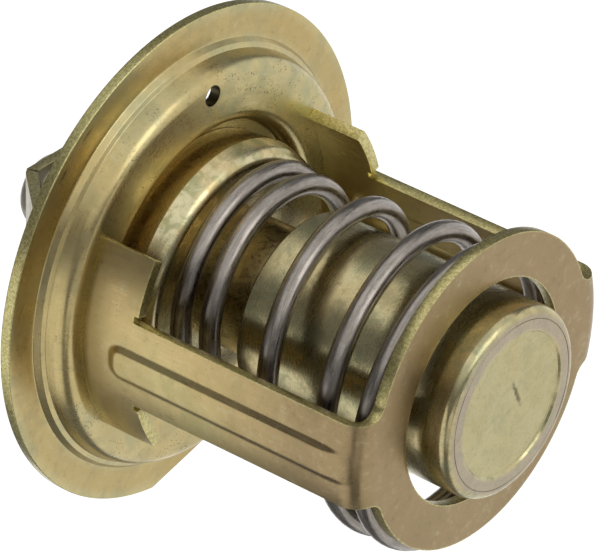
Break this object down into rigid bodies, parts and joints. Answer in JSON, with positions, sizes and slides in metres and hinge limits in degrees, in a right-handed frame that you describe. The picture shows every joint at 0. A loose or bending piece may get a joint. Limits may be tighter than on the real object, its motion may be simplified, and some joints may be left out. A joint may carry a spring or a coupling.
{
  "type": "engine thermostat",
  "caption": "Wax-element engine thermostat: stamped flange and bridge, spring cage with ring, conical coil spring, and a valve cup on a wax capsule that lifts along the axis.",
  "frame": {"origin": "centre of the flange rim, halfway through its sheet", "axes": "+Z along the axis from the flange to the wax capsule, +X through a cage leg and the bridge, +Y across them"},
  "size_m": [0.054, 0.0535, 0.062],
  "materials": {
    "plated_flange": "steel, yellow zinc plate, satin",
    "plated_bridge": "steel, yellow zinc plate, satin",
    "piston_steel": "ground stainless steel",
    "plated_cage": "steel, yellow zinc plate, satin",
    "spring_steel": "bare spring steel, drawn",
    "plated_valve": "steel, yellow zinc plate, mottled",
    "guide_brass": "turned brass",
    "seal_rubber": "black rubber",
    "disc_plastic": "white plastic",
    "plug_rubber": "black rubber",
    "diaphragm_rubber": "black rubber",
    "wax": "wax with metal powder",
    "plated_capsule": "deep-drawn shell, yellow zinc plate, mottled"
  },
  "bodies": {
    "frame": {"flange_plate": "plated_flange", "bridge": "plated_bridge", "piston": "piston_steel", "spring_cage": "plated_cage", "main_spring": "spring_steel"},
    "valve": {"valve_plate": "plated_valve", "guide_body": "guide_brass", "piston_seal": "seal_rubber", "anti_extrusion_disc": "disc_plastic", "rubber_plug": "plug_rubber", "diaphragm": "diaphragm_rubber", "wax_charge": "wax", "capsule_shell": "plated_capsule"}
  },
  "joints": [
    {"name": "valve_lift", "type": "slide", "parent": "frame", "child": "valve", "axis": [0, 0, 1], "range_m": [0, 0.0085], "stiffness_N_per_m": 4000, "springref_m": -0.02, "deforming": ["main_spring"]}
  ]
}
